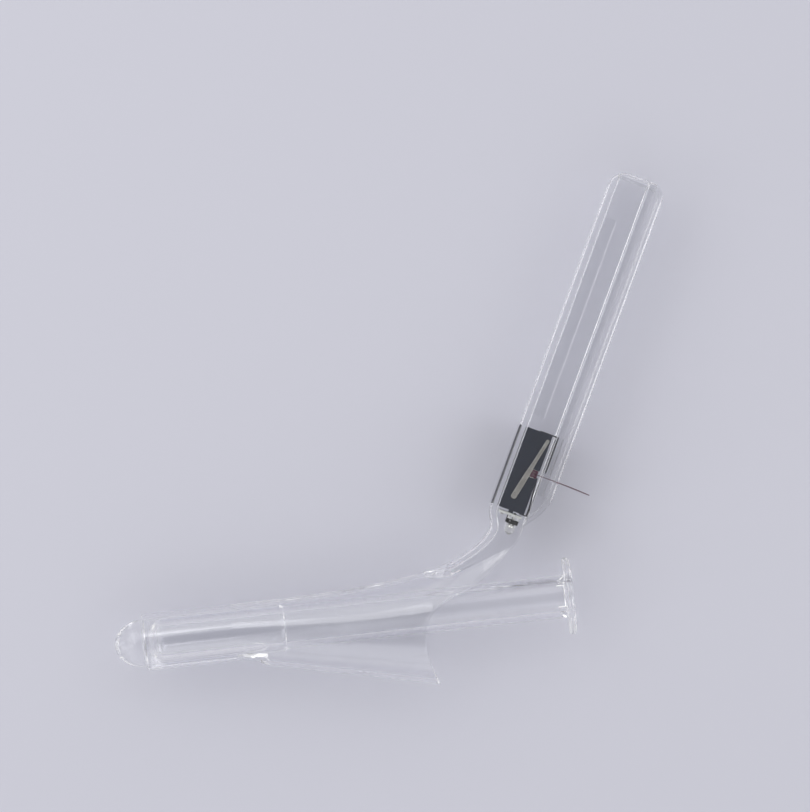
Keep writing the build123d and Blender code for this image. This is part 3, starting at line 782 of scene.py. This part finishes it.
# %% Folded edge of the film
FOLD_GAP = 0.12
FOLD_HALF_HEIGHT = 1.22
FOLD_TURNS = (24.0, 81.0)
FOLD_GAUGE = 0.08
CREASE = 0.045
CREASE_WAVES = (9.0, 16.0)
CREASE_SLANTS = (7.0, -2.0)
cell_low, cell_high = handle_span("cell_2")
stack_offset = (cell_low[0] + cell_high[0]) / 2
fold_radius = (cell_high[0] - cell_low[0]) / 2 + FOLD_GAP
fold_turn = np.radians(np.linspace(*FOLD_TURNS, 48))[:, None]
one_side = np.linspace(-1, 1, 33)
fold_wide = np.concatenate([one_side, one_side[::-1]])
fold_thick = np.repeat([FOLD_GAUGE / 2, -FOLD_GAUGE / 2], len(one_side))
first_wave = np.sin(CREASE_WAVES[0] * fold_turn + CREASE_SLANTS[0] * fold_wide)
second_wave = np.cos(CREASE_WAVES[1] * fold_turn + CREASE_SLANTS[1] * fold_wide)
fold_reach = fold_radius + CREASE * first_wave * second_wave + fold_thick
fold_level = film_line[0, 1] + FOLD_HALF_HEIGHT * fold_wide + 0 * fold_turn
fold_offset = stack_offset + fold_reach * np.cos(fold_turn)
fold_rings = in_handle(fold_offset, fold_level, fold_reach * np.sin(fold_turn))
closed_skin("pull_tab_fold", fold_rings, film_plum, body="pull_tab")

# %% [markdown]
# The light is a small domed epoxy lamp with a flange at its foot. It is turned, with its tip
# pointing down the handle, and it is cast in the same clear way as the body, a little yellower.

# %% Lamp body
lamp_low, lamp_high = handle_span("led_lens")
LAMP_RADIUS = 1.5
LAMP_FILLET = 0.12
FLANGE_HEIGHT = 1.0
AXIS_HOLE = 0.01
lamp_centre = ((lamp_low[0] + lamp_high[0]) / 2, 0.0)
flange_arc = (lamp_high[0] - lamp_low[0]) / 2 - LAMP_FILLET
tip = lamp_low[1]
flange = lamp_high[1] - FLANGE_HEIGHT
lamp = [(AXIS_HOLE, tip)] + corner_arc((0.0, tip + LAMP_RADIUS), LAMP_RADIUS, -86, 0, 16)
lamp += [(LAMP_RADIUS, flange - LAMP_FILLET), (LAMP_RADIUS + LAMP_FILLET, flange)]
lamp += corner_arc((flange_arc, flange + LAMP_FILLET), LAMP_FILLET, -90, 0)
lamp += corner_arc((flange_arc, lamp_high[1] - LAMP_FILLET), LAMP_FILLET, 0, 90)
lamp += [(AXIS_HOLE, lamp_high[1])]
lamp_epoxy = clear_plastic("lamp_epoxy", (0.97, 0.97, 0.93), 1.54, 0.02, 0.000006)
closed_skin("led_lamp", spun(lamp, lamp_centre), lamp_epoxy, node="led_lens")

# %% [markdown]
# What makes a lamp look real is what is cast inside it. First comes a cup on one leg, which throws
# the light forwards, and in it the chip under its yellow coating, a small dome.

# %% Cup and chip
LEG_SPACING = 1.27 / 2
CUP_PLACE = 0.55
POST_PLACE = 1.05
CUP_BELOW_TIP = 2.6
CUP_DEPTH = 0.42
CUP_MOUTH = 0.58
CUP_FOOT = 0.8
cup_height = tip + CUP_BELOW_TIP
cup_centre = (lamp_centre[0], -LEG_SPACING * CUP_PLACE)
cup = [(PIN_HOLE, cup_height), (0.3, cup_height), (0.5, cup_height - CUP_DEPTH)]
cup += [(CUP_MOUTH, cup_height - CUP_DEPTH), (CUP_MOUTH + 0.02, cup_height + 0.35)]
cup += [(0.4, cup_height + CUP_FOOT), (PIN_HOLE, cup_height + CUP_FOOT)]
closed_skin("led_cup", spun(cup, cup_centre, 36), tin_solder)
chip = [(PIN_HOLE, cup_height - 0.3)] + corner_arc((0.0, cup_height - 0.05), 0.26, -75, 0, 7)
chip += [(PIN_HOLE, cup_height)]
closed_skin("led_chip", spun(chip, cup_centre, 28), phosphor)

# %% [markdown]
# A hair-thin wire leads from the chip to a post on the other leg, in a bow. The wire and the two
# legs are one round section carried along a line: at each point two directions at right angles to
# the line span the section, and a point at turn t lies at radius (first cos t + second sin t).


# %% Bond wire and legs in the lamp
def round_line(name, points, radius, material):
    """Closed skin of a round wire along points[offset, height, across], ten steps about."""
    points = np.array(points, float)
    along = np.gradient(points, axis=0)
    along /= np.linalg.norm(along, axis=1, keepdims=True)
    first = np.cross(along, np.array([1.0, 0.0, 0.0]))
    first /= np.linalg.norm(first, axis=1, keepdims=True)
    second = np.cross(along, first)
    turn = np.linspace(0, 2 * math.pi, 10, endpoint=False)[None, :, None]
    section = np.cos(turn) * first[:, None, :] + np.sin(turn) * second[:, None, :]
    ring = points[:, None, :] + radius * section
    closed_skin(name, in_handle(ring[..., 0], ring[..., 1], ring[..., 2]), material)


WIRE_RADIUS = 0.022
WIRE_BOW = 0.35
LEG_RADIUS = 0.2
LEG_END_GAP = 0.05
LEG_SPREAD = 1.6
POST_STRAIGHT = 1.2
POST_BEND = 0.7
CATHODE_TOP = 0.7
ANODE_TOP = -0.3
leg_end = lamp_high[1] - LEG_END_GAP
bow = np.linspace(0, math.pi, 17)
wire_offset = np.full(len(bow), lamp_centre[0])
wire_height = cup_height - 0.28 - WIRE_BOW * np.sin(bow)
wire_across = np.linspace(cup_centre[1], LEG_SPACING * POST_PLACE, len(bow))
wire = np.stack([wire_offset, wire_height, wire_across], axis=1)
round_line("led_bond_wire", wire, WIRE_RADIUS, gold_wire)
for name, top, inner, foot in (
    ("led_cathode_frame", cup_height + CATHODE_TOP, -LEG_SPACING * CUP_PLACE, -LEG_SPACING * LEG_SPREAD),
    ("led_anode_frame", cup_height + ANODE_TOP, LEG_SPACING * POST_PLACE, LEG_SPACING * LEG_SPREAD),
):
    bend = top + POST_STRAIGHT
    frame_line = [(lamp_centre[0], top, inner), (lamp_centre[0], bend, inner)]
    frame_line += [(lamp_centre[0], bend + POST_BEND, foot), (lamp_centre[0], leg_end, foot)]
    round_line(name, frame_line, LEG_RADIUS, tin_solder)

# %% [markdown]
# A black ring keeps the lamp's light from leaking sideways. It is a turned ring with four rounded
# edges, and a flat arm beside it runs up to the board.

# %% Light hood
hood_low, hood_high = handle_span("light_hood")
HOOD_ARM = 0.28
HOOD_ARM_WIDTH = 2.0
ARM_GAP = 0.02
HOOD_GAP = 0.05
HOOD_EDGE = 0.1
arm_offset = hood_low[0] - HOOD_ARM / 2
arm_line = np.array([(arm_offset, hood_low[1] + HOOD_EDGE), (arm_offset, lamp_high[1] - ARM_GAP)])
arm_rings = strip(arm_line, HOOD_ARM_WIDTH, HOOD_ARM)
closed_skin("light_hood_arm", arm_rings, hood_plastic)

inner_arc = LAMP_RADIUS + HOOD_GAP + HOOD_EDGE
outer_arc = (hood_high[0] - hood_low[0]) / 2 - HOOD_EDGE
lower_arc = hood_low[1] + HOOD_EDGE
upper_arc = hood_high[1] - HOOD_EDGE
hood_profile = corner_arc((inner_arc, lower_arc), HOOD_EDGE, 180, 270, 4)
hood_profile += corner_arc((outer_arc, lower_arc), HOOD_EDGE, 270, 360, 4)
hood_profile += corner_arc((outer_arc, upper_arc), HOOD_EDGE, 0, 90, 4)
hood_profile += corner_arc((inner_arc, upper_arc), HOOD_EDGE, 90, 180, 4)
hood_rings = turned_ring(hood_profile, lamp_centre)
closed_skin("light_hood_ring", hood_rings, hood_plastic, node="light_hood", loop=True)

# %% [markdown]
# Solder climbs each leg of the lamp in a small concave cone. The cone widens with the cube of the
# way down from its top, which is about how solder wets a pin: broad on the pad, steep above.

# %% Solder cones
SOLDER_FOOT = 0.62
SOLDER_TOP = 0.30
SOLDER_HEIGHT = 0.34
SOLDER_SINK = 0.02
board_top = handle_span("led_board")[1][1]
climb = np.linspace(0, 1, 9)
for name in ("led_anode_lead", "led_cathode_lead"):
    low, high = handle_span(name)
    radius = SOLDER_TOP + (SOLDER_FOOT - SOLDER_TOP) * (1 - climb) ** 3
    cone = [(PIN_HOLE, board_top - SOLDER_SINK), (SOLDER_FOOT, board_top - SOLDER_SINK)]
    cone += np.stack([radius, board_top + SOLDER_HEIGHT * climb], axis=1).tolist()
    cone += [(PIN_HOLE, board_top + SOLDER_HEIGHT)]
    closed_skin(f"{name}_solder", spun(cone, middle_of(low, high), 36), tin_solder)

# %% [markdown]
# The resistor is a ceramic chip with a tinned cap at each end. All three are short bars with rounded
# edges, and each bar is one rounded rectangle carried across the handle: its ring at a level across
# is drawn in near both ends, so that the ends are rounded too.

# %% Resistor
chip_low, chip_high = handle_span("resistor")
chip_middle = (chip_low + chip_high) / 2
chip_size = chip_high - chip_low
END_CAP = 0.42
CERAMIC_INSET = 0.06
CERAMIC_STEP = 0.04
BAR_EDGE = 0.08
END_SHRINK = np.array([1.6, 0.5, 0.0, 0.0, 0.5, 1.6])


def rounded_bar(name, start, end, material, node=None, grow=0.0):
    """Bar with rounded edges that runs across the handle from start to end; its end rings draw in."""
    wide, thick = rounded_section(1.0, 1.0, BAR_EDGE)
    near = start + BAR_EDGE * np.array([0.0, 0.3, 1.0])
    far = end - BAR_EDGE * np.array([1.0, 0.3, 0.0])
    drawn = 1 - BAR_EDGE * END_SHRINK
    offset = chip_middle[0] + drawn[:, None] * wide * (chip_size[0] + grow)
    height = chip_middle[1] + drawn[:, None] * thick * (chip_size[1] + grow)
    across = np.broadcast_to(np.concatenate([near, far])[:, None], offset.shape)
    closed_skin(name, in_handle(offset, height, across), material, node=node)


low, high = chip_low[2], chip_high[2]
ceramic_low, ceramic_high = low + CERAMIC_INSET, high - CERAMIC_INSET
rounded_bar("resistor_body", ceramic_low, ceramic_high, ceramic, "resistor", -CERAMIC_STEP)
rounded_bar("resistor_cap_low", low, low + END_CAP, tin_solder)
rounded_bar("resistor_cap_high", high - END_CAP, high, tin_solder)

# %% [markdown]
# The tray is a moulding with a deep pocket, a notch and feet, too many cuts for one smooth
# function. Its construction mesh is copied instead: the loose triangles are merged, flat regions
# become single faces again, and a bevel rounds the edges as the mould does. The board is made the
# same way, and the lamp's legs keep their construction shape.

# %% Battery tray and board
MERGE_GAP = 0.0001 * MM
FLAT_ANGLE = math.radians(1.0)
BEVEL_ANGLE = math.radians(35)


def softened_copy(node, name, material, edge, segments):
    """Copy of a construction piece with merged points, whole flat faces and rounded edges."""
    mesh = nodes[node].data.copy()
    work = bmesh.new()
    work.from_mesh(mesh)
    bmesh.ops.remove_doubles(work, verts=work.verts, dist=MERGE_GAP)
    bmesh.ops.dissolve_limit(
        work, angle_limit=FLAT_ANGLE, verts=work.verts, edges=work.edges, use_dissolve_boundaries=False
    )
    work.to_mesh(mesh)
    work.free()
    mesh.name = name
    for layer in ("custom_normal", "sharp_edge", "sharp_face"):
        if layer in mesh.attributes:
            mesh.attributes.remove(mesh.attributes[layer])
    mesh.materials.clear()
    mesh.materials.append(material)
    mesh.shade_smooth()
    piece = bpy.data.objects.new(name, mesh)
    bpy.context.scene.collection.objects.link(piece)
    bevel = piece.modifiers.new("edges", "BEVEL")
    bevel.width = edge * MM
    bevel.segments = segments
    bevel.limit_method = "ANGLE"
    bevel.angle_limit = BEVEL_ANGLE
    bevel.harden_normals = True
    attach(piece, "speculum")
    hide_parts(node)
    print(f"{name}: {len(mesh.polygons)} faces before its bevel")


softened_copy("battery_cradle", "battery_tray", tray_plastic, 0.12, 3)
softened_copy("led_board", "led_board_plate", board_mask, 0.05, 2)
dress("led_anode_lead", tin_solder)
dress("led_cathode_lead", tin_solder)

# %% [markdown]
# A ray that is caught between the walls of a clear moulding bounces many times before it leaves. If
# it is cut off too soon, it comes back black, and the walls get dark wedges that no real plastic
# has. So the path lengths are raised far above the defaults, mirror bounces included.

# %% Path lengths
PATH_LENGTH = 256
scene = bpy.context.scene
scene.cycles.max_bounces = PATH_LENGTH
scene.cycles.glossy_bounces = PATH_LENGTH
scene.cycles.transmission_bounces = PATH_LENGTH
scene.cycles.transparent_max_bounces = PATH_LENGTH
scene.view_settings.view_transform = "Standard"
print("a ray may bounce", PATH_LENGTH, "times")
